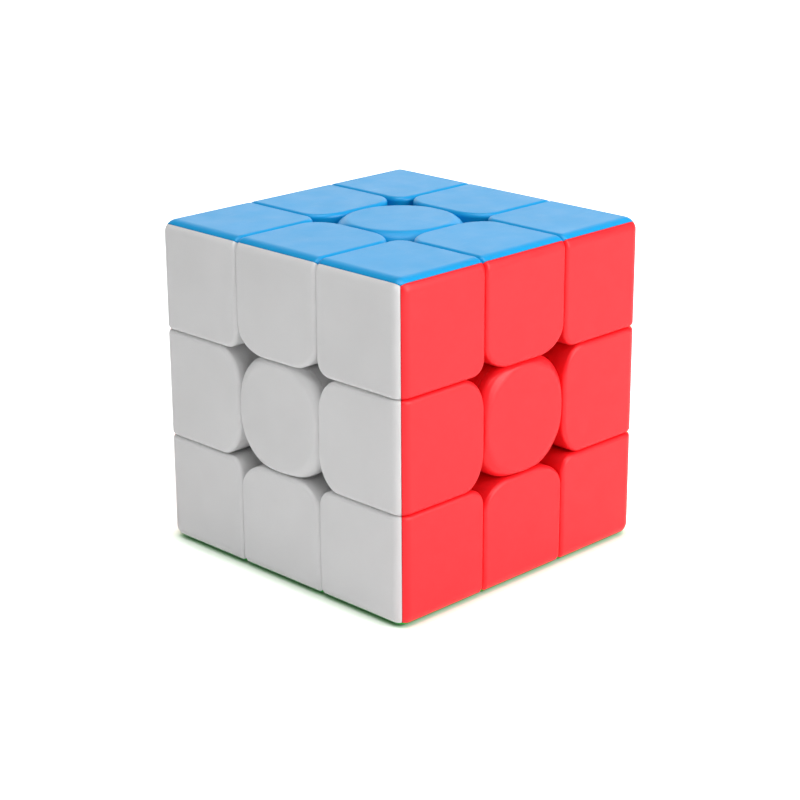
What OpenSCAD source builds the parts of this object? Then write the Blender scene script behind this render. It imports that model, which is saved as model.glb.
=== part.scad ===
// Twisty puzzle cube: six turning centres on a core, twelve edges, eight corners.
// The origin is the point where the six turning axes meet; +Z is the top face's normal.
// Every piece is hollow and made of coloured shells that meet on the diagonal planes.

/* [Cube] */
// Width of the whole cube, from one flat face to the opposite one
cube_size = 56; // [52:1:62]
// Full gap between neighbouring pieces
piece_gap = 0.2; // [0.16:0.02:0.3]
// Rounding of the cube's outer edges
outer_round = 2.2; // [1.5:0.1:3]
// Rounding of a corner piece next to the four small holes of a face
corner_round = 2.7; // [1.5:0.1:4]
// Rounding of an edge piece next to the four small holes of a face
edge_round = 5; // [3:0.25:6]
// Wall thickness of the hollow shells
wall = 1.4; // [1:0.1:2]

/* [Mechanism] */
// Radius of the ball surface that the locking feet slide on
track_r = 20; // [19:0.25:21]
// Half width of the locking feet and of the centre stems
foot_half = 5; // [4.6:0.1:5.4]
// Radius of the free ball in the middle, round the core
heart_r = 12.1; // [11.8:0.1:12.4]
// Radius of the locating pegs between two shells of one piece
peg_r = 0.8; // [0.6:0.1:1]

/* [Centre pieces] */
// Thickness of a centre cap
cap_h = 2.7; // [2.4:0.1:3]
// Radius of the flat disc in the middle of a cap
disc_r = 8.95; // [8:0.05:9.1]
// Angle at which a cap falls away outside its disc
cap_slope = 32; // [20:1:40]
// Rounding of a centre piece next to the four small holes of a face
centre_round = 6.2; // [4:0.2:6.4]
// Radius of the spring well in a centre stem
well_r = 3.6; // [3.4:0.1:3.8]

/* [Core and tension set] */
// Radius of the core's ball
core_ball_r = 7.6; // [7:0.1:8]
// Radius of the core's six arms
arm_r = 3.9; // [3.5:0.1:4]
// Height of an arm's end above the middle of the cube
arm_top = 11.2; // [11:0.1:11.3]
// Radius of the screw's shank
screw_r = 1.45; // [1.3:0.05:1.5]
// Radius of the screw's head
screw_head_r = 2.8; // [2.6:0.1:3]
// Radius of the spring wire
wire_r = 0.28; // [0.2:0.02:0.3]
// Number of turns of a spring
spring_turns = 4.5; // [3:0.5:5]

/* [Hidden] */
$fn = 96;
half = cube_size / 2;
third = cube_size / 6;
clear = piece_gap / 2;
inner_face = third + clear;          // first flank of an edge or corner block, next to the cut
mid_half = third - clear;            // half width of a centre or edge block between two cuts
foot_in = foot_half + clear;         // first flank of a foot, next to the inner cut
stem_half = foot_half - clear;       // half width of a stem or an edge foot
over_track = track_r + clear;        // blocks lie outside this ball
under_track = track_r - clear;       // feet lie inside this ball
vertex_proud = 0.2;                  // the vertices stand this far out of a plain rounded cube's
vertex_r = sqrt(3) * (half - outer_round) + outer_round + vertex_proud;
neck_top = track_r + 1;              // necks and stems run this far out into their blocks
big = cube_size;
eps = 0.01;
past = 1;                            // how far a cut runs past what it cuts
fuse = 0.1;                          // how far two joined solids run into each other

cap_z = half - cap_h;                // where the cap sits on its base
slope_r = disc_r + cap_h / tan(cap_slope);  // radius of the cap's slope, run on to its foot
tube_r = 5;                          // outside of the spring well's tube
plug_r = 6.3;                        // ring under the cap that snaps over the tube
plug_h = 1.5;
fit = 0.04;                          // play of a snapped or pegged joint inside one piece
stem_z = heart_r;                    // lower end of a centre stem
well_floor = 1.6;
well_z = stem_z + well_floor;        // floor of the spring well
shank_clear = 0.25;                  // play round the shank in the stem's floor
play = 0.05;                         // between the screw, the washer and the spring
washer_r = 3.1;
washer_bore_r = screw_r + 3 * play;
washer_h = 0.5;
spring_room = 5.4;                   // from the well's floor to the washer
washer_z = well_z + spring_room;     // underside of the washer
head_z = washer_z + washer_h + play; // underside of the screw's head
head_h = 1.8;
slot_len = 3.4;                      // each slot of the cross in the screw's head
slot_w = 0.7;
slot_depth = 1;
screw_in = 3.2;                      // lower end of the screw, from the middle of the cube
screw_bore_r = screw_r + play;
spring_z = well_z + 2 * play;        // lower end of the spring
spring_h = washer_z - spring_z - play;
spring_r = 2.35;                     // radius of the spring's coil, to the wire's middle
wire_sides = 6;
wire_steps = 12;                     // rings of the wire in one turn

corner_peg_p = 11.2;                 // place of a corner's peg on the diagonal plane
corner_peg_q = 7.6;
edge_peg_p = 11.4;                   // place of an edge's peg on the diagonal plane
edge_peg_y = 2.6;
peg_root = 1;                        // how far a peg runs into its own shell
peg_out = 1.3;                       // how far it stands out
boss_r = peg_r + 1;                  // boss that holds a peg or its socket
boss_h = 2.4;

// face name, outward normal, plastic colour
FACES = [
    ["top",    [0, 0, 1],  "blue",   [0.05, 0.45, 0.85]],
    ["bottom", [0, 0, -1], "green",  [0.05, 0.60, 0.25]],
    ["front",  [0, -1, 0], "white",  [0.90, 0.90, 0.90]],
    ["back",   [0, 1, 0],  "yellow", [0.98, 0.85, 0.10]],
    ["right",  [1, 0, 0],  "red",    [0.90, 0.12, 0.12]],
    ["left",   [-1, 0, 0], "orange", [1.00, 0.45, 0.05]],
];
function face_name(f) = FACES[f][0];
function normal(f) = FACES[f][1];
function hue(f) = FACES[f][2];
function tint(f) = FACES[f][3];

EDGES = [for (a = [0:4], b = [a + 1:5]) if (normal(a) * normal(b) == 0) [a, b]];
CORNERS = [for (a = [0, 1], b = [2, 3], c = [4, 5]) [a, b, c]];

function edge_node(e, f) = str("edge_", face_name(e[0]), "_", face_name(e[1]), "_", hue(f));
function corner_node(c, f) =
    str("corner_", face_name(c[0]), "_", face_name(c[1]), "_", face_name(c[2]), "_", hue(f));
function centre_node(f) = str("centre_", hue(f));

// turns a piece made for the +X, +Y and +Z faces to the faces with normals u, v and w
module to_faces(u, v, w) {
    multmatrix([
        [u[0], v[0], w[0], 0],
        [u[1], v[1], w[1], 0],
        [u[2], v[2], w[2], 0],
        [0, 0, 0, 1],
    ]) children();
}

module along_x() { to_faces([0, 1, 0], [0, 0, 1], [1, 0, 0]) children(); }
module along_y() { to_faces([0, 0, 1], [1, 0, 0], [0, 1, 0]) children(); }

// the other half's view of the same edge: +Z and +X change places
module swap_halves() { to_faces([0, 0, 1], [0, -1, 0], [1, 0, 0]) children(); }

// what is left of a quarter square outside its inscribed quarter circle, at the corner (x, y)
module corner_cutter(x, y, sx, sy, r) {
    translate([x, y]) difference() {
        translate([sx > 0 ? -r : -eps, sy > 0 ? -r : -eps]) square(r + eps);
        translate([-sx * r, -sy * r]) circle(r);
    }
}

// half space on the +Z side of the diagonal plane x = z
module above_diagonal() {
    rotate([0, -45, 0]) translate([-big, -big, 0]) cube(2 * big);
}

// ---- corner pieces ----

module corner_outline() {
    difference() {
        translate([inner_face, inner_face]) square(half - inner_face);
        corner_cutter(inner_face, inner_face, -1, -1, corner_round);
        corner_cutter(half, half, 1, 1, outer_round);
    }
}

module corner_prism() { linear_extrude(half) corner_outline(); }

module corner_block() {
    intersection() {
        corner_prism();
        along_x() corner_prism();
        along_y() corner_prism();
        sphere(vertex_r);
    }
}

module corner_foot() {
    intersection() {
        translate([foot_in, foot_in, foot_in]) cube(track_r);
        sphere(under_track);
    }
}

module corner_cavity() {
    block_in = inner_face + wall;
    translate([block_in, block_in, block_in]) cube(half - wall - block_in);
    intersection() {
        translate([foot_in + wall, foot_in + wall, foot_in + wall]) cube(track_r);
        difference() {
            sphere(under_track - wall);
            sphere(heart_r + wall);
        }
    }
}

// pin that crosses the diagonal plane x = z at p, pointing from the +Z shell to the +X shell
module pin(p, r, root, reach) {
    translate(p) rotate([0, 135, 0]) translate([0, 0, -root]) cylinder(h = root + reach, r = r);
}

module corner_pin(r, root, reach) {
    pin([corner_peg_p, corner_peg_q, corner_peg_p], r, root, reach);
}

module corner_body() {
    difference() {
        corner_block();
        corner_cavity();
    }
    difference() {
        corner_foot();
        sphere(heart_r);
        corner_cavity();
    }
}

module corner_shell() {
    difference() {
        union() {
            intersection() {
                union() {
                    corner_body();
                    corner_pin(boss_r, boss_h, 0);
                    along_x() corner_pin(boss_r, 0, boss_h);
                }
                above_diagonal();
                rotate([0, 0, 90]) mirror([0, 1, 0]) above_diagonal();
            }
            corner_pin(peg_r, peg_root, peg_out);
        }
        along_x() corner_pin(peg_r + fit, eps, peg_out + fit);
    }
}

// ---- edge pieces ----

module edge_outline() {
    difference() {
        translate([inner_face, -mid_half]) square([half - inner_face, 2 * mid_half]);
        corner_cutter(inner_face, mid_half, -1, 1, edge_round);
        corner_cutter(inner_face, -mid_half, -1, -1, edge_round);
    }
}

module edge_section() {
    difference() {
        translate([inner_face, inner_face]) square(half - inner_face);
        corner_cutter(half, half, 1, 1, outer_round);
    }
}

module edge_block() {
    intersection() {
        linear_extrude(half) edge_outline();
        swap_halves() linear_extrude(half) edge_outline();
        rotate([90, 0, 0]) translate([0, 0, -mid_half]) linear_extrude(2 * mid_half) edge_section();
    }
}

// the part of a ball between two flanks and two sides
module edge_neck(flank, side, r) {
    intersection() {
        translate([flank, -side, flank]) cube([track_r, 2 * side, track_r]);
        sphere(r);
    }
}

module edge_cavity() {
    block_in = inner_face + wall;
    side = mid_half - wall;
    difference() {
        translate([block_in, -side, block_in])
            cube([half - wall - block_in, 2 * side, half - wall - block_in]);
        sphere(over_track + wall);
    }
    difference() {
        edge_neck(foot_in + wall, stem_half - wall, under_track - wall);
        sphere(heart_r + wall);
    }
}

module edge_body() {
    difference() {
        union() {
            difference() {
                edge_block();
                sphere(over_track);
            }
            edge_neck(inner_face, stem_half, neck_top);
            edge_neck(foot_in, stem_half, under_track);
        }
        sphere(heart_r);
        edge_cavity();
    }
}

module edge_pin(r, root, reach) {
    pin([edge_peg_p, edge_peg_y, edge_peg_p], r, root, reach);
}

module edge_half() {
    difference() {
        union() {
            intersection() {
                union() {
                    edge_body();
                    intersection() {
                        union() {
                            edge_pin(boss_r, boss_h, 0);
                            swap_halves() edge_pin(boss_r, 0, boss_h);
                        }
                        edge_neck(foot_in, stem_half, under_track);
                    }
                }
                above_diagonal();
            }
            edge_pin(peg_r, peg_root, peg_out);
        }
        swap_halves() edge_pin(peg_r + fit, eps, peg_out + fit);
    }
}

// ---- centre pieces ----

module centre_outline(side, r) {
    difference() {
        square(2 * side, center = true);
        for (sx = [-1, 1], sy = [-1, 1]) corner_cutter(sx * side, sy * side, sx, sy, r);
    }
}

module centre_base() {
    difference() {
        union() {
            difference() {
                linear_extrude(cap_z - fit) centre_outline(mid_half, centre_round);
                sphere(over_track);
                difference() {
                    linear_extrude(cap_z) centre_outline(mid_half - wall, centre_round - wall);
                    sphere(over_track + wall);
                }
            }
            translate([-stem_half, -stem_half, stem_z])
                cube([2 * stem_half, 2 * stem_half, neck_top - stem_z]);
            translate([0, 0, track_r]) cylinder(h = cap_z - fit - track_r, r = tube_r);
        }
        translate([0, 0, well_z]) cylinder(h = half, r = well_r);
        translate([0, 0, stem_z - past])
            cylinder(h = well_floor + 2 * past, r = screw_r + shank_clear);
    }
}

module centre_cap() {
    translate([0, 0, cap_z]) intersection() {
        linear_extrude(cap_h) centre_outline(mid_half, centre_round);
        cylinder(h = cap_h, r1 = slope_r, r2 = disc_r);
    }
    translate([0, 0, cap_z - plug_h]) difference() {
        cylinder(h = plug_h + fuse, r = plug_r);
        translate([0, 0, -past]) cylinder(h = plug_h + past, r = tube_r + fit);
    }
}

// ---- core and tension set ----

module core_body() {
    difference() {
        union() {
            sphere(core_ball_r);
            for (f = [0:5]) at_face(f) cylinder(h = arm_top, r = arm_r);
        }
        for (f = [0:5]) at_face(f) translate([0, 0, screw_in]) cylinder(h = arm_top, r = screw_bore_r);
    }
}

module tension_screw() {
    difference() {
        union() {
            translate([0, 0, screw_in]) cylinder(h = head_z - screw_in + eps, r = screw_r);
            translate([0, 0, head_z]) cylinder(h = head_h, r = screw_head_r);
        }
        for (turn = [0, 90])
            translate([0, 0, head_z + head_h]) rotate([0, 0, turn])
                cube([slot_len, slot_w, 2 * slot_depth], center = true);
    }
}

module washer() {
    translate([0, 0, washer_z]) difference() {
        cylinder(h = washer_h, r = washer_r);
        translate([0, 0, -past]) cylinder(h = washer_h + 2 * past, r = washer_bore_r);
    }
}

// ring of points round the wire at step i of the helix
function wire_ring(i, n, rise) =
    let (turn = 360 * spring_turns * i / n, z = wire_r + rise * i / n)
    [for (k = [0:wire_sides - 1])
        let (a = 360 * k / wire_sides, r = spring_r + wire_r * cos(a))
        [r * cos(turn), r * sin(turn), z + wire_r * sin(a)]];

module spring() {
    n = ceil(wire_steps * spring_turns);
    rise = spring_h - 2 * wire_r;
    rings = [for (i = [0:n]) each wire_ring(i, n, rise)];
    m = wire_sides;
    skin = [for (i = [0:n - 1], k = [0:m - 1])
        let (j = (k + 1) % m)
        each [[i * m + k, (i + 1) * m + k, (i + 1) * m + j], [i * m + k, (i + 1) * m + j, i * m + j]]];
    ends = [[for (k = [0:m - 1]) k], [for (k = [m - 1:-1:0]) n * m + k]];
    translate([0, 0, spring_z]) polyhedron(points = rings, faces = concat(skin, ends));
}

// turns +Z to the normal of face f
module at_face(f) {
    w = normal(f);
    u = w[2] != 0 ? [1, 0, 0] : [0, 0, 1];
    to_faces(u, cross(w, u), w) children();
}

module at_edge(e, f) {
    w = normal(f);
    u = normal(e[0] == f ? e[1] : e[0]);
    to_faces(u, cross(w, u), w) children();
}

module at_corner(c, f) {
    w = normal(f);
    others = [for (g = c) if (g != f) g];
    p = normal(others[0]);
    q = normal(others[1]);
    ordered = cross(p, q) == w;
    to_faces(ordered ? p : q, ordered ? q : p, w) children();
}

module core() { color("dimgray") core_body(); }
module tension_screws() { color("silver") for (f = [0:5]) at_face(f) tension_screw(); }
module tension_springs() { color("silver") for (f = [0:5]) at_face(f) spring(); }
module spring_washers() { color("gainsboro") for (f = [0:5]) at_face(f) washer(); }

module centre(f) {
    color(tint(f)) at_face(f) {
        centre_base();
        centre_cap();
    }
}

for (c = CORNERS, f = c)
    color(tint(f)) at_corner(c, f) corner_shell();
for (e = EDGES, f = e)
    color(tint(f)) at_edge(e, f) edge_half();
for (f = [0:5])
    centre(f);
core();
tension_screws();
tension_springs();
spring_washers();
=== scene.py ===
"""The looks of the twisty puzzle cube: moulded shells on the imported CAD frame, studio, camera.

Lengths in the shape functions are millimetres, as in the CAD source; pieces are made in metres.
A piece's surface is where a distance field is zero. The field joins and cuts plain solids with
rounded edges, and skin() lays a mesh of quads on it, on a lattice that is fine along the edges.
"""
import itertools
import math

import bpy
import numpy as np
from mathutils import Matrix, Vector


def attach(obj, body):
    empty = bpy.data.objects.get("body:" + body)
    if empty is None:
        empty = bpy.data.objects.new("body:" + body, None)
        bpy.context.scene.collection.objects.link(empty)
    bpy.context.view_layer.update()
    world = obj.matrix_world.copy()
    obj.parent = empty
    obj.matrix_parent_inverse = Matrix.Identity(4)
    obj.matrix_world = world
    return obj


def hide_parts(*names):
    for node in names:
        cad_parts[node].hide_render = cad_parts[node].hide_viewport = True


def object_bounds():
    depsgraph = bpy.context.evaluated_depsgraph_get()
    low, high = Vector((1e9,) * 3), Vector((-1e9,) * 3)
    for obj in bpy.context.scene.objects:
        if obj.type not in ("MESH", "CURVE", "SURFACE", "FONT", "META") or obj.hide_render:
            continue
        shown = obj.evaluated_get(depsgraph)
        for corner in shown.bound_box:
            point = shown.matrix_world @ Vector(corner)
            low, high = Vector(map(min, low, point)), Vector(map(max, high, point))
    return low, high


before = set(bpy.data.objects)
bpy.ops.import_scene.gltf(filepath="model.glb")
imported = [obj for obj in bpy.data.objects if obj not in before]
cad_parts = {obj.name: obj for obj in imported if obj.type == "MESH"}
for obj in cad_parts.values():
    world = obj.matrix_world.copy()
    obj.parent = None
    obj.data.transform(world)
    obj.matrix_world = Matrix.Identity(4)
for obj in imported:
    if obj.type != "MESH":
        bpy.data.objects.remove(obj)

CAD_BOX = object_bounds()
MM = 0.001

# ---- driving sizes, in millimetres, as the CAD holds them ----
HALF = round(CAD_BOX[1][2] / MM, 3)   # from the middle of the cube to a flat face
THIRD = HALF / 3
SLIT = 0.03                           # half the slit that shows between neighbouring pieces
CLEAR = 0.1                           # half the gap round the hidden feet and stems
INNER = THIRD + SLIT                  # flank of an edge or corner block, next to the cut
MID = THIRD - SLIT                    # half width of a centre or edge block between two cuts
FOOT_HALF = 5.0
FOOT = FOOT_HALF + CLEAR
STEM = FOOT_HALF - CLEAR
TRACK = 20.0                          # ball that the feet slide on
OVER_TRACK = TRACK + CLEAR
UNDER_TRACK = TRACK - CLEAR
HEART = 12.1                          # free ball round the core
NECK_TOP = TRACK + 2                  # necks and stems reach this far into their blocks
WELL_R = 3.6                          # spring well in a stem
WELL_FLOOR = HEART + 1.6
CAP_H = 2.7
SEAT_GAP = 0.04                       # between a cap and its base
DISC_R = 8.95                         # flat disc in the middle of a cap
CAP_SLOPE = math.radians(32)          # fall of the cap outside its disc
DISC_RIM = 0.25                       # the bend between them

OUTER_ROUND = 2.2                     # along the cube's outer edges
CORNER_ROUND = 2.7                    # of a corner tile, next to a hole
EDGE_UP = 4.5                         # an edge tile's oval corner: its reach along the flank
EDGE_ALONG = 6.0                      # and along the side that faces the centre
CAP_ROUND = 6.2                       # of a centre tile, next to a hole
RIM = 0.75                            # where a tile's flat face turns into the gap
FOOT_RIM = 0.5                        # along the edges of the feet
SEAM_RIM = 0.12                       # along the seam of two coloured shells
SEAM_GAP = 0.015                      # half the seam
FILLET = 0.5                          # in the inner angles of a piece
STEM_ROUND = 0.6                      # along a stem's upright edges
WELL_RIM = 0.2                        # round the mouth and floor of a well
ROOT2 = math.sqrt(2)


# ---- fields: negative inside, distance in millimetres ----
def meet(r, *parts):
    """What lies inside all parts, with edges rounded to radius r."""
    parts = np.broadcast_arrays(*parts)
    deepest = np.maximum.reduce(parts)
    over = sum(np.maximum(p + r, 0) ** 2 for p in parts)
    return np.minimum(deepest, -r) + np.sqrt(over)


def join(r, *parts):
    """What lies inside any part, with inner angles filled to radius r."""
    return -meet(r, *[-p for p in parts])


def oval(p, q, reach_p, reach_q):
    """What lies inside both p and q, with their corner rounded to a quarter of an ellipse."""
    a, b = np.maximum(p + reach_p, 0), np.maximum(q + reach_q, 0)
    k = np.hypot(a / reach_p, b / reach_q)
    slope = np.maximum(np.hypot(a / reach_p ** 2, b / reach_q ** 2), 1e-9)
    return np.where(k > 0, k * (k - 1) / slope, np.maximum(p, q))


def ball(x, y, z, radius):
    return np.sqrt(x * x + y * y + z * z) - radius


def corner_shell(x, y, z):
    """The +Z coloured third of the corner piece at +X, +Y and +Z."""
    outer = meet(OUTER_ROUND, x - HALF, y - HALF, z - HALF)
    flanks = np.maximum.reduce([
        meet(CORNER_ROUND, INNER - x, INNER - y),
        meet(CORNER_ROUND, INNER - y, INNER - z),
        meet(CORNER_ROUND, INNER - x, INNER - z),
    ])
    block = meet(RIM, outer, flanks)
    foot = meet(FOOT_RIM, FOOT - x, FOOT - y, FOOT - z,
                ball(x, y, z, UNDER_TRACK), -ball(x, y, z, HEART))
    piece = join(FILLET, block, foot)
    return meet(SEAM_RIM, piece, (x - z) / ROOT2 + SEAM_GAP, (y - z) / ROOT2 + SEAM_GAP)


def edge_half(x, y, z):
    """The +Z coloured half of the edge piece between +X and +Z."""
    side = np.abs(y) - MID
    outer = meet(OUTER_ROUND, x - HALF, z - HALF)
    flanks = np.maximum(oval(INNER - x, side, EDGE_UP, EDGE_ALONG),
                        oval(INNER - z, side, EDGE_UP, EDGE_ALONG))
    block = meet(FOOT_RIM, meet(RIM, outer, flanks), -ball(x, y, z, OVER_TRACK))
    stem_side = np.abs(y) - STEM
    neck = meet(FOOT_RIM, stem_side, INNER - x, INNER - z, ball(x, y, z, NECK_TOP),
                -ball(x, y, z, HEART))
    # the join would swell out of the flanks that block and neck share, so it is cut back
    body = np.maximum.reduce([join(FILLET, block, neck), INNER - x, INNER - z])
    foot = meet(FOOT_RIM, stem_side, FOOT - x, FOOT - z, ball(x, y, z, UNDER_TRACK),
                -ball(x, y, z, HEART))
    piece = join(FILLET, body, foot)
    return meet(SEAM_RIM, piece, (x - z) / ROOT2 + SEAM_GAP)


def square_side(x, y, half_width, r):
    return meet(r, np.abs(x) - half_width, np.abs(y) - half_width)


def centre_cap(x, y, z):
    """The cap of the +Z centre: a flat disc that falls away towards four round corners."""
    slope = (z - HALF) * math.cos(CAP_SLOPE) + (np.hypot(x, y) - DISC_R) * math.sin(CAP_SLOPE)
    top = meet(DISC_RIM, z - HALF, slope)
    tile = meet(RIM, top, square_side(x, y, MID, CAP_ROUND))
    return meet(SEAM_RIM, tile, HALF - CAP_H - z)


def centre_base(x, y, z):
    """The base of the +Z centre on its stem."""
    seat = z - (HALF - CAP_H - SEAT_GAP)
    block = meet(FOOT_RIM, meet(SEAM_RIM, square_side(x, y, MID, CAP_ROUND), seat),
                 -ball(x, y, z, OVER_TRACK))
    stem = meet(FOOT_RIM, square_side(x, y, STEM, STEM_ROUND), z - NECK_TOP, HEART - z)
    well = np.maximum(np.hypot(x, y) - WELL_R, WELL_FLOOR - z)
    return meet(WELL_RIM, join(FILLET, block, stem), -well)


# ---- meshes ----
SURFACE_PROBE = 2e-3                  # step of a gradient while points settle on the surface
NORMAL_PROBE = 0.02                   # step of the gradient that gives the normals
SETTLE_ROUNDS = 8
SETTLE_STEP = 0.3                     # longest move of a point in one round
PINCH_ROUNDS = 3
JUST_OUTSIDE = 1e-4


def lines(*stretches):
    """Lattice lines: each stretch is (start, end, step)."""
    marks = [np.linspace(a, b, max(1, round((b - a) / step)), endpoint=False)
             for a, b, step in stretches]
    return np.concatenate(marks + [[stretches[-1][1]]])


def gradient(field, points, h):
    out = np.empty_like(points)
    for k in range(3):
        step = np.zeros(3)
        step[k] = h
        out[:, k] = (field(*(points + step).T) - field(*(points - step).T)) / (2 * h)
    return out


def part_pinches(value):
    """Where two opposite corners of a lattice square are inside and the other two aren't, the
    surface would touch itself along a line. One of the two is taken out."""
    for _ in range(PINCH_ROUNDS):
        for a, b in itertools.combinations(range(3), 2):
            square = {}
            for i, j in itertools.product((0, 1), repeat=2):
                cut = [slice(None)] * 3
                cut[a], cut[b] = slice(i, i - 1 or None), slice(j, j - 1 or None)
                square[i, j] = value[tuple(cut)]
            for j in (0, 1):
                pinched = ((square[0, j] < 0) & (square[1, 1 - j] < 0)
                           & (square[0, 1 - j] >= 0) & (square[1, j] >= 0))
                square[0, j][pinched] = JUST_OUTSIDE


def skin(field, place, u, v, w, ring=False):
    """Points, quads and normals of the surface field = 0 on the lattice u, v, w.
    place() turns lattice numbers into x, y, z. With ring, v closes on itself."""
    grid = np.stack(place(*np.meshgrid(u, v, w, indexing="ij")), -1)
    value = field(*np.moveaxis(grid, -1, 0))
    part_pinches(value)
    cells = (len(u) - 1, len(v) - (0 if ring else 1), len(w) - 1)

    def at(a, i, j, k):
        a = np.roll(a[i:i + cells[0]], -j, axis=1)[:, :cells[1]]
        return a[:, :, k:k + cells[2]]

    signs = sum((at(value, *c) < 0).astype(int) for c in itertools.product((0, 1), repeat=3))
    crossed = (signs > 0) & (signs < 8)
    number = np.full(cells, -1)
    number[crossed] = np.arange(crossed.sum())
    total = np.zeros(cells + (3,))
    count = np.zeros(cells)
    for axis in range(3):
        for side in itertools.product((0, 1), repeat=2):
            a = list(side)
            a.insert(axis, 0)
            b = list(side)
            b.insert(axis, 1)
            fa, fb = at(value, *a), at(value, *b)
            here = (fa < 0) != (fb < 0)
            t = np.where(here, fa / np.where(here, fa - fb, 1), 0)[..., None]
            pa, pb = at(grid, *a), at(grid, *b)
            total += here[..., None] * (pa + t * (pb - pa))
            count += here
    points = total[crossed] / count[crossed][:, None]
    for _ in range(SETTLE_ROUNDS):
        slope = gradient(field, points, SURFACE_PROBE)
        size = np.maximum((slope ** 2).sum(1), 0.05)
        move = np.clip(field(*points.T) / size, -SETTLE_STEP, SETTLE_STEP)
        points -= move[:, None] * slope

    quads = []
    inside = value < 0
    n = [len(u), len(v), len(w)]
    for axis in range(3):
        a, b = [k for k in range(3) if k != axis]
        start = [slice(None)] * 3
        end = [slice(None)] * 3
        if axis == 1 and ring:
            near, far = inside, np.roll(inside, -1, axis=1)
        else:
            start[axis], end[axis] = slice(0, -1), slice(1, None)
            near, far = inside[tuple(start)], inside[tuple(end)]
        i = np.argwhere(near != far)
        keep = np.ones(len(i), bool)
        for k in (a, b):
            if not (k == 1 and ring):
                keep &= (i[:, k] > 0) & (i[:, k] < n[k] - 1)
        i = i[keep]
        corners = []
        for da, db in ((-1, -1), (0, -1), (0, 0), (-1, 0)):
            c = i.copy()
            c[:, a] += da
            c[:, b] += db
            if ring:
                c[:, 1] %= cells[1]
            corners.append(number[tuple(c.T)])
        quad = np.stack(corners, 1)
        flip = near[tuple(i.T)] != (axis == 1)
        quad[flip] = quad[flip][:, ::-1]
        quads.append(quad)
    quads = np.concatenate(quads)
    if ring:
        points, quads = cover_poles(points, quads)
    normals = gradient(field, points, NORMAL_PROBE)
    normals /= np.linalg.norm(normals, axis=1)[:, None]
    p = points[quads]
    facing = (np.cross(p[:, 2] - p[:, 0], p[:, 3] - p[:, 1]) * normals[quads[:, 0]]).sum(1)
    if facing.sum() < 0:
        quads = quads[:, ::-1]
    return points, quads, normals


def cover_poles(points, quads):
    """Close the small round openings at the axis with fans of triangles. A fan's triangle
    repeats its pole, so that it fits among the quads."""
    edges = np.concatenate([quads[:, [k, (k + 1) % 4]] for k in range(4)])
    used = {tuple(edge) for edge in edges.tolist()}
    open_edges = np.array([edge for edge in used if edge[::-1] not in used])
    for side in (-1, 1):
        middle = points[:, 2].mean()
        loop = open_edges[(points[open_edges[:, 0], 2] - middle) * side > 0]
        pole = points[loop[:, 0]].mean(0)
        fan = np.column_stack([loop[:, ::-1], np.full((len(loop), 2), len(points))])
        points = np.vstack([points, pole])
        quads = np.vstack([quads, fan])
    return points, quads


RIM_REACH = 0.8                       # depth below an outer face that its rim reaches
DEEP_FROM = 1.5                       # depths between which a piece turns from outside to deep
DEEP_TO = 4.0


def note_wear(mesh, points, normals):
    """Where a piece is handled and where it slides, for its material: rim is 1 on the bends
    round an outer face, deep is 1 on what lies well below that face."""
    depth = HALF - points[:, 2]
    up = np.clip(normals[:, 2], 0, 1)
    tilt = 4 * up * (1 - up)
    rim = tilt * np.clip(2 - depth / RIM_REACH, 0, 1)
    deep = np.clip((depth - DEEP_FROM) / (DEEP_TO - DEEP_FROM), 0, 1)
    for kind, values in (("rim", rim), ("deep", deep)):
        mesh.attributes.new(kind, "FLOAT", "POINT").data.foreach_set("value", values)


def make_piece(name, shape, turn, material, body, nodes):
    """A piece of the shape turned into place. turn's columns are the shape's X, Y and Z."""
    points, quads, normals = shape
    mesh = bpy.data.meshes.new(name)
    faces = [list(dict.fromkeys(quad)) for quad in quads.tolist()]
    mesh.from_pydata((points @ turn.T * MM).tolist(), [], faces)
    if mesh.validate():
        raise ValueError(f"{name} has faulty faces")
    mesh.shade_smooth()
    mesh.normals_split_custom_set_from_vertices((normals @ turn.T).tolist())
    mesh.materials.append(material)
    note_wear(mesh, points, normals)
    piece = bpy.data.objects.new(name, mesh)
    bpy.context.scene.collection.objects.link(piece)
    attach(piece, body)
    if nodes:
        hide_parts(*nodes)
    return piece


# Lattices, fine where a piece bends and coarse where it is flat. p and q run away from the
# seams, so that the seams lie on lattice planes.
P_LINES = lines((-0.1, 0.02, 0.06), (0.02, 0.3, 0.07), (0.3, 7, 0.25), (7, 10.4, 0.22),
                (10.4, 13.4, 0.8), (13.4, 17.2, 0.38), (17.2, 18.8, 0.16))
Z_LINES = lines((6.6, 12, 0.5), (12, 19.4, 0.22), (19.4, 25.2, 0.65), (25.2, 27, 0.3),
                (27, 28.12, 0.14))
Y_LINES = lines((0, 4.2, 0.6), (4.2, 5.2, 0.14), (5.2, 8.2, 0.4), (8.2, 9.4, 0.15))
Y_LINES = np.concatenate([-Y_LINES[:0:-1], Y_LINES])

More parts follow.
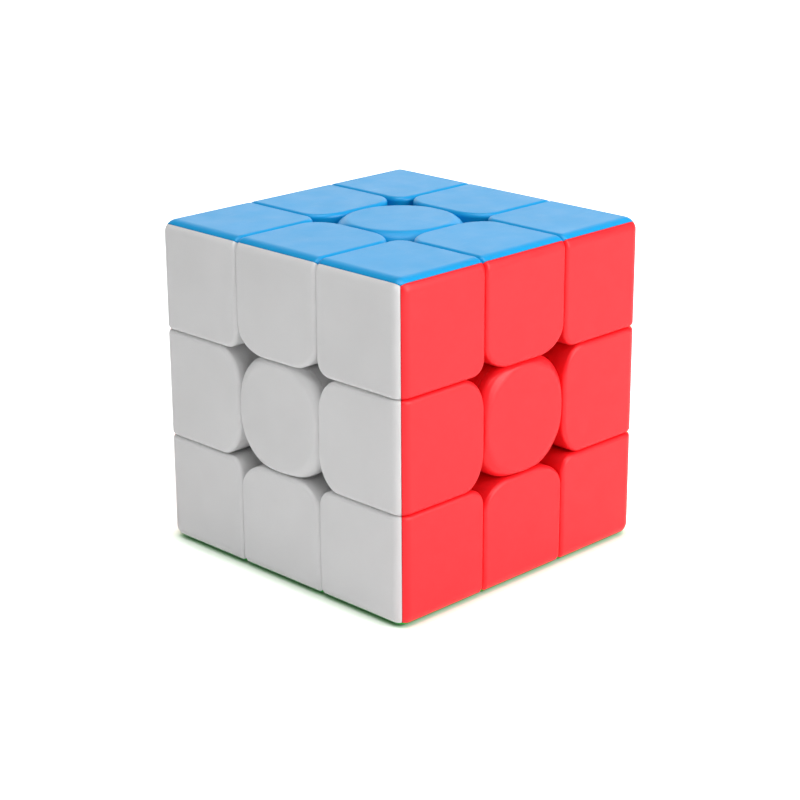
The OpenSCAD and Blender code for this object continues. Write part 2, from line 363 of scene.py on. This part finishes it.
corner_shape = skin(corner_shell, lambda p, q, z: (z - p, z - q, z), P_LINES, P_LINES, Z_LINES)
edge_shape = skin(edge_half, lambda p, y, z: (z - p, y, z), P_LINES, Y_LINES, Z_LINES)
cap_shape = skin(
    centre_cap, lambda r, t, z: (r * np.cos(t), r * np.sin(t), z),
    lines((0.4, 7.6, 1.2), (7.6, 8.7, 0.4), (8.7, 9.5, 0.12), (9.5, 11.4, 0.2)),
    np.arange(0, 2 * np.pi, np.pi / 90),
    lines((25.1, 25.5, 0.08), (25.5, 26.3, 0.25), (26.3, 28.1, 0.09)), ring=True)
base_line = lines((0, 4.4, 0.55), (4.4, 5.1, 0.17), (5.1, 8.3, 0.4), (8.3, 9.4, 0.16))
base_line = np.concatenate([-base_line[:0:-1], base_line])
base_shape = skin(
    centre_base, lambda x, y, z: (x, y, z), base_line, base_line,
    lines((11.9, 14, 0.15), (14, 17, 0.6), (17, 20.8, 0.22), (20.8, 24.4, 0.6),
          (24.4, 25.5, 0.15)))


# ---- materials ----
class Paint:
    """A new material with its shader, and short ways to add nodes to it."""

    def __init__(self, name):
        self.material = bpy.data.materials.new(name)
        self.material.use_nodes = True
        self.tree = self.material.node_tree
        self.shader = self.tree.nodes["Principled BSDF"]
        self.place = self.tree.nodes.new("ShaderNodeTexCoord").outputs["Object"]

    def link(self, value, socket):
        if isinstance(value, (int, float)):
            socket.default_value = value
        else:
            self.tree.links.new(value, socket)

    def noise(self, size, detail=2.0, stretch=None):
        """Cloudy noise between 0 and 1 with spots of the given size in metres. stretch is
        a turn in degrees and the spots' lengths along the turned axes."""
        node = self.tree.nodes.new("ShaderNodeTexNoise")
        node.inputs["Scale"].default_value = 1 / size
        node.inputs["Detail"].default_value = detail
        place = self.place
        if stretch:
            turn, lengths = stretch
            mapping = self.tree.nodes.new("ShaderNodeMapping")
            mapping.inputs["Rotation"].default_value = [math.radians(a) for a in turn]
            mapping.inputs["Scale"].default_value = [1 / a for a in lengths]
            self.link(place, mapping.inputs["Vector"])
            place = mapping.outputs["Vector"]
        self.link(place, node.inputs["Vector"])
        return node.outputs[0]

    def attribute(self, name):
        node = self.tree.nodes.new("ShaderNodeAttribute")
        node.attribute_name = name
        return node.outputs["Fac"]

    def math(self, operation, a, b):
        node = self.tree.nodes.new("ShaderNodeMath")
        node.operation = operation
        self.link(a, node.inputs[0])
        self.link(b, node.inputs[1])
        return node.outputs[0]

    def spread(self, value, low, high, start=0.3, end=0.7):
        """The value's stretch from start to end, laid over low to high."""
        node = self.tree.nodes.new("ShaderNodeMapRange")
        node.inputs["From Min"].default_value = start
        node.inputs["From Max"].default_value = end
        node.inputs["To Min"].default_value = low
        node.inputs["To Max"].default_value = high
        self.link(value, node.inputs["Value"])
        return node.outputs["Result"]

    def colour(self, colour, tone):
        """The colour, made lighter or darker by tone."""
        node = self.tree.nodes.new("ShaderNodeHueSaturation")
        node.inputs["Color"].default_value = (*colour, 1)
        self.link(tone, node.inputs["Value"])
        self.link(node.outputs["Color"], self.shader.inputs["Base Color"])

    def bump(self, *layers):
        """Bumps of (height, size in metres) on top of each other."""
        below = None
        for height, size in layers:
            node = self.tree.nodes.new("ShaderNodeBump")
            node.inputs["Distance"].default_value = size
            self.link(height, node.inputs["Height"])
            if below:
                self.link(below, node.inputs["Normal"])
            below = node.outputs["Normal"]
        self.link(below, self.shader.inputs["Normal"])


def plastic(name, colour, glow):
    """Coloured ABS with a fine spark-eroded grain outside. It is polished a little where
    fingers rub its rims, and smooth where the pieces slide on each other."""
    paint = Paint(name)
    rim, deep = paint.attribute("rim"), paint.attribute("deep")
    outside = paint.math("SUBTRACT", 1, deep)
    cloud = paint.spread(paint.noise(0.011), 0.975, 1.02)
    worn = paint.math("MULTIPLY", rim, 0.03)
    paint.colour(colour, paint.math("ADD", cloud, worn))

    smudge = paint.spread(paint.noise(0.0045, 4), 0.37, 0.45)
    hairlines = paint.noise(0.0006, 3, ((25, 40, 15), (0.35, 12, 9)))
    hairlines = paint.spread(hairlines, 0, -0.06, 0.62, 0.72)
    polished = paint.math("ADD", paint.math("MULTIPLY", rim, -0.07),
                          paint.math("MULTIPLY", deep, -0.12))
    rough = paint.math("ADD", paint.math("ADD", smudge, hairlines), polished)
    paint.link(rough, paint.shader.inputs["Roughness"])

    grain = paint.math("MULTIPLY", paint.noise(0.00022, 3), outside)
    paint.bump((paint.noise(0.014, 1), 0.00007), (grain, 0.000012))
    paint.shader.inputs["Specular IOR Level"].default_value = 0.42
    paint.shader.inputs["Subsurface Weight"].default_value = glow
    paint.shader.inputs["Subsurface Radius"].default_value = (1, 1, 1)
    paint.shader.inputs["Subsurface Scale"].default_value = 0.0006
    return paint.material


def core_plastic():
    """Glass-filled nylon: dull, speckled, with short fibres near the surface."""
    paint = Paint("core_nylon")
    speckle = paint.spread(paint.noise(0.0004, 4), 0.8, 1.25)
    paint.colour((0.045, 0.043, 0.04), speckle)
    paint.link(paint.spread(paint.noise(0.002, 3), 0.46, 0.6), paint.shader.inputs["Roughness"])
    fibres = paint.noise(0.0005, 2, ((35, 20, 50), (0.5, 4, 1)))
    paint.bump((fibres, 0.00003), (paint.noise(0.00025), 0.00002))
    return paint.material


def steel(name, colour, rough):
    """Turned or drawn steel with fine tool marks and a light film of grease."""
    paint = Paint(name)
    paint.shader.inputs["Metallic"].default_value = 1
    paint.colour(colour, paint.spread(paint.noise(0.0015, 3), 0.92, 1.06))
    film = paint.spread(paint.noise(0.0008, 3), rough - 0.06, rough + 0.08)
    paint.link(film, paint.shader.inputs["Roughness"])
    marks = paint.noise(0.0001, 2, ((45, 35, 0), (1, 1, 8)))
    paint.bump((marks, 0.000004))
    return paint.material


HUES = {
    "blue": (0.0, 0.34, 0.73), "green": (0.006, 0.44, 0.03), "white": (0.85, 0.85, 0.85),
    "yellow": (0.92, 0.68, 0.02), "red": (0.94, 0.014, 0.022), "orange": (0.94, 0.22, 0.02),
}
GLOW = {"white": 0.2}                 # how far light goes into the plastic; little in the others
PLASTIC = {hue: plastic("plastic_" + hue, colour, GLOW.get(hue, 0.04))
           for hue, colour in HUES.items()}


def dress(node, material):
    """Give a CAD node that shows as it is its material."""
    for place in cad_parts[node].material_slots:
        place.material = material


dress("core", core_plastic())
dress("tension_screws", steel("zinc_steel", (0.62, 0.62, 0.60), 0.28))
dress("tension_springs", steel("spring_steel", (0.40, 0.40, 0.41), 0.34))
dress("spring_washers", steel("washer_steel", (0.56, 0.55, 0.53), 0.3))

# ---- the pieces ----
FACES = {
    "top": ((0, 0, 1), "blue"), "bottom": ((0, 0, -1), "green"),
    "front": ((0, -1, 0), "white"), "back": ((0, 1, 0), "yellow"),
    "right": ((1, 0, 0), "red"), "left": ((-1, 0, 0), "orange"),
}


def normal(face):
    return np.array(FACES[face][0], float)


def columns(u, v, w):
    return np.stack([u, v, w], 1)


for corner in itertools.product(("top", "bottom"), ("front", "back"), ("right", "left")):
    body = "corner_" + "_".join(corner)
    for face in corner:
        hue = FACES[face][1]
        w = normal(face)
        u, v = [normal(other) for other in corner if other != face]
        if np.dot(np.cross(u, v), w) < 0:
            u, v = v, u
        make_piece(f"{body}_{hue}_shell", corner_shape, columns(u, v, w), PLASTIC[hue], body,
                   [f"{body}_{hue}"])

for a, b in itertools.combinations(FACES, 2):
    if normal(a) @ normal(b):
        continue
    body = f"edge_{a}_{b}"
    for face, other in ((a, b), (b, a)):
        hue = FACES[face][1]
        w, u = normal(face), normal(other)
        make_piece(f"{body}_{hue}_half", edge_shape, columns(u, np.cross(w, u), w), PLASTIC[hue],
                   body, [f"{body}_{hue}"])

for face, (_, hue) in FACES.items():
    w = normal(face)
    u = np.roll(w, 1)
    turn = columns(u, np.cross(w, u), w)
    make_piece(f"centre_{face}_{hue}_base", base_shape, turn, PLASTIC[hue], "centre_" + face,
               ["centre_" + hue])
    make_piece(f"centre_{face}_{hue}_cap", cap_shape, turn, PLASTIC[hue], "centre_" + face,
               [])

# ---- studio ----
scene = bpy.context.scene
scene.view_settings.view_transform = "Standard"

# ---- camera direction, which the lights are placed by ----
AZIMUTH = 45.05                       # degrees
ELEVATION = 18.19


def toward(azimuth, elevation):
    """Unit vector from the cube, azimuth counted from the front face towards the right one."""
    az, el = math.radians(azimuth), math.radians(elevation)
    return Vector((math.sin(az) * math.cos(el), -math.cos(az) * math.cos(el), math.sin(el)))


FLOOR_SPAN = 3.0                      # half the floor's side, in metres
CONTACT = 0.003                       # how far the cube's foot darkens the floor's own glow, a painted contact shadow
FLOOR_GLOW = 0.7                      # of the floor, as the camera sees it
FLOOR_BOUNCE = 0.04                   # of the floor, as everything sees it
PAINTED_SHADE_POWER = {"Red": 3.0, "Green": 2.2, "Blue": 3.2}   # how soon each colour fades in the painted shade; green slowest, as painted green bounce


def floor_paint():
    """Matt white card that glows. The camera sees it overexposed, but for a painted contact
    shadow right at the cube.
    """
    paint = Paint("floor_card")
    paint.colour((0.92, 0.92, 0.92), paint.spread(paint.noise(0.002), 0.995, 1.005))
    paint.shader.inputs["Roughness"].default_value = 0.6
    paint.shader.inputs["Specular IOR Level"].default_value = 0.1
    shade = paint.tree.nodes.new("ShaderNodeAmbientOcclusion")
    shade.inputs["Distance"].default_value = CONTACT
    seen = paint.tree.nodes.new("ShaderNodeLightPath").outputs["Is Camera Ray"]
    # painted contact shadow: occlusion darkens the glow, green least, as painted green bounce
    # light from the face underneath
    painted_shade_tint = paint.tree.nodes.new("ShaderNodeCombineColor")
    for channel, power in PAINTED_SHADE_POWER.items():
        paint.link(paint.math("POWER", shade.outputs["AO"], power), painted_shade_tint.inputs[channel])
    paint.tree.links.new(painted_shade_tint.outputs["Color"], paint.shader.inputs["Emission Color"])
    glow = paint.math("MULTIPLY", seen, FLOOR_GLOW)
    strength = paint.math("ADD", glow, FLOOR_BOUNCE)
    paint.link(strength, paint.shader.inputs["Emission Strength"])
    return paint.material


def lay_floor():
    mesh = bpy.data.meshes.new("floor")
    span = FLOOR_SPAN
    mesh.from_pydata([(-span, -span, 0), (span, -span, 0), (span, span, 0), (-span, span, 0)],
                     [], [(0, 1, 2, 3)])
    mesh.materials.append(floor_paint())
    floor = bpy.data.objects.new("floor", mesh)
    floor.location.z = CAD_BOX[0][2]
    scene.collection.objects.link(floor)


lay_floor()

# soft lights as bright patches of the sky: direction, inner and outer angle, strength
SKY = 0.185                           # strength of the even light from all round
PATCHES = [
    (toward(AZIMUTH, 80), 12, 30, 3.6),
    (toward(AZIMUTH + 180, 6), 18, 42, 1.25),
]
KEY_TOWARD = toward(107, 25)
KEY_DISTANCE = 0.5                    # metres
KEY_SIZE = 0.36                       # metres
KEY_POWER = 2.0                       # watts


def light_studio():
    world = bpy.data.worlds.new("studio")
    scene.world = world
    world.use_nodes = True
    tree = world.node_tree
    link = tree.links.new
    light = tree.nodes["Background"]
    light.inputs["Color"].default_value = (1, 1, 1, 1)
    direction = tree.nodes.new("ShaderNodeTexCoord").outputs["Generated"]
    total = None
    for aim, inner, outer, strength in PATCHES:
        dot = tree.nodes.new("ShaderNodeVectorMath")
        dot.operation = "DOT_PRODUCT"
        dot.inputs[1].default_value = aim
        link(direction, dot.inputs[0])
        fade = tree.nodes.new("ShaderNodeMapRange")
        fade.interpolation_type = "SMOOTHSTEP"
        fade.inputs["From Min"].default_value = math.cos(math.radians(outer))
        fade.inputs["From Max"].default_value = math.cos(math.radians(inner))
        fade.inputs["To Max"].default_value = strength
        link(dot.outputs["Value"], fade.inputs["Value"])
        add = tree.nodes.new("ShaderNodeMath")
        add.inputs[1].default_value = SKY
        link(fade.outputs["Result"], add.inputs[0])
        if total:
            link(total, add.inputs[1])
        total = add.outputs["Value"]
    link(total, light.inputs["Strength"])
    seen = tree.nodes.new("ShaderNodeBackground")
    mix = tree.nodes.new("ShaderNodeMixShader")
    link(tree.nodes.new("ShaderNodeLightPath").outputs["Is Camera Ray"], mix.inputs["Fac"])
    link(light.outputs["Background"], mix.inputs[1])
    link(seen.outputs["Background"], mix.inputs[2])
    seen.inputs["Color"].default_value = (1, 1, 1, 1)
    link(mix.outputs["Shader"], tree.nodes["World Output"].inputs["Surface"])


light_studio()


def place_key():
    """A softbox on the right, off the camera's view."""
    light = bpy.data.lights.new("key", "AREA")
    light.size = KEY_SIZE
    light.energy = KEY_POWER
    key = bpy.data.objects.new("key", light)
    key.location = KEY_TOWARD * KEY_DISTANCE
    key.rotation_euler = KEY_TOWARD.to_track_quat("Z", "Y").to_euler()
    key.visible_camera = False
    scene.collection.objects.link(key)


place_key()

# ---- camera ----
DISTANCE = 0.3474                     # metres from the cube's middle
LENS = 92.87                          # millimetres
SENSOR = 36                           # millimetres
ROLL = -0.312                         # degrees off the direct view of the cube's middle
PITCH = -0.562
YAW = 0.028


def camera_at_photo_angle():
    back = toward(AZIMUTH, ELEVATION)
    camera_data = bpy.data.cameras.new("camera")
    camera = bpy.data.objects.new("camera", camera_data)
    scene.collection.objects.link(camera)
    look = (-back).to_track_quat("-Z", "Y").to_matrix()
    tilt = (Matrix.Rotation(math.radians(ROLL), 3, "Z")
            @ Matrix.Rotation(math.radians(YAW), 3, "Y")
            @ Matrix.Rotation(math.radians(PITCH), 3, "X"))
    camera.matrix_world = Matrix.Translation(back * DISTANCE) @ (look @ tilt).to_4x4()
    camera_data.lens = LENS
    camera_data.sensor_width = SENSOR
    scene.camera = camera


camera_at_photo_angle()
